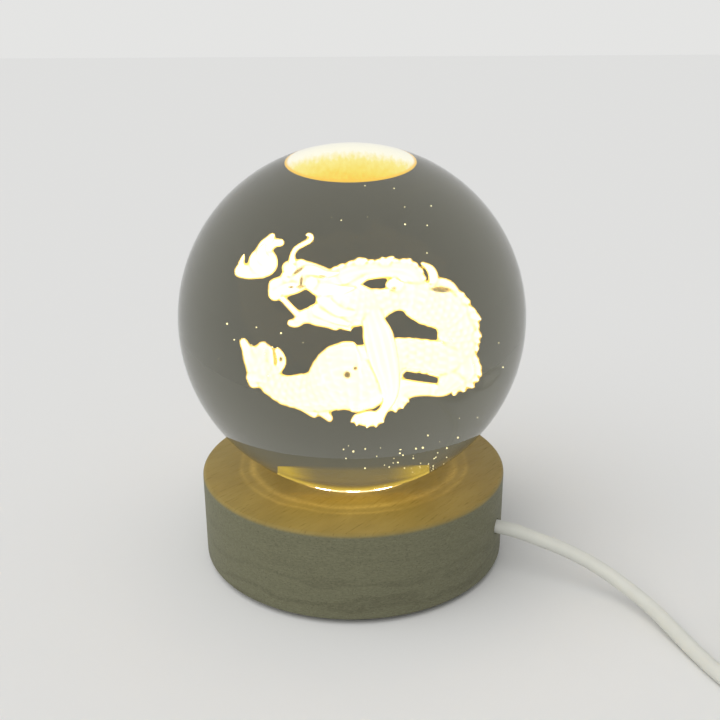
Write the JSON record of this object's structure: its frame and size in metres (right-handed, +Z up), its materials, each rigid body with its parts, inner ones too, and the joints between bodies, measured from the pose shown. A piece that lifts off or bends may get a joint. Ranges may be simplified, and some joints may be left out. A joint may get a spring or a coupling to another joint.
{
  "type": "crystal ball lamp",
  "caption": "Clear glass ball with an engraved dragon and flaming pearl inside, standing on a round wooden light base that shines up through it, with a cord, in-line switch and USB plug.",
  "frame": {"origin": "on the table under the middle of the base, at the underside of the feet", "axes": "+Z up; the engraved figure faces -Y; the cord leaves the base on the +X side, 23 degrees towards -Y"},
  "size_m": [0.1815, 0.1187, 0.0983],
  "materials": {
    "glass": "clear polished optical glass",
    "engraving": "white laser-made cracks lit by warm light",
    "wood": "pale turned wood with a thin satin coat",
    "board": "white solder mask",
    "led": "warm white light-emitting face in a white case",
    "resistor": "black ceramic",
    "steel": "zinc plated",
    "brass": "bare, bright",
    "cover": "black, lightly textured",
    "rubber": "black, matt",
    "cord": "white PVC sheath, smooth",
    "red_wire": "red insulation",
    "black_wire": "black insulation",
    "nylon": "natural nylon",
    "switch_plastic": "white, satin moulded",
    "tongue": "white insulator"
  },
  "bodies": {
    "base": {"wood_base": "wood", "bottom_cover": "cover", "led_board": "board", "led_1": "led", "led_2": "led", "led_3": "led", "led_4": "led", "led_5": "led", "led_6": "led", "resistor_1": "resistor", "resistor_2": "resistor", "board_screw_1": "steel", "board_screw_2": "steel", "board_screw_3": "steel", "cover_screw_1": "steel", "cover_screw_2": "steel", "cover_screw_3": "steel", "foot_1": "rubber", "foot_2": "rubber", "foot_3": "rubber", "foot_4": "rubber", "cord_lead": "cord", "cable_tie": "nylon", "red_wire": "red_wire", "black_wire": "black_wire", "cord_run": "cord", "cord_coil": "cord", "coil_tie": "nylon", "cord_tail_1": "cord", "cord_tail_2": "cord", "switch_lower": "switch_plastic", "switch_upper": "switch_plastic", "switch_contact_1": "brass", "switch_contact_2": "brass", "switch_screw_1": "steel", "switch_screw_2": "steel", "plug_overmould": "cord", "plug_shell": "steel", "plug_tongue": "tongue", "plug_contact_1": "brass", "plug_contact_2": "brass", "plug_contact_3": "brass", "plug_contact_4": "brass"},
    "ball": {"crystal_ball": "glass", "engraved_dragon": "engraving", "engraved_pearl": "engraving"},
    "rocker": {"switch_rocker": "switch_plastic"}
  },
  "joints": [
    {"name": "ball_lift", "type": "slide", "parent": "base", "child": "ball", "axis": [0, 0, 1], "range_m": [0, 0.06]},
    {"name": "switch_rock", "type": "hinge", "parent": "base", "child": "rocker", "pos_m": [0.13221, -0.01638, 0.0074], "axis": [0.9726, -0.2325, 0], "range_deg": [0, 14]}
  ]
}
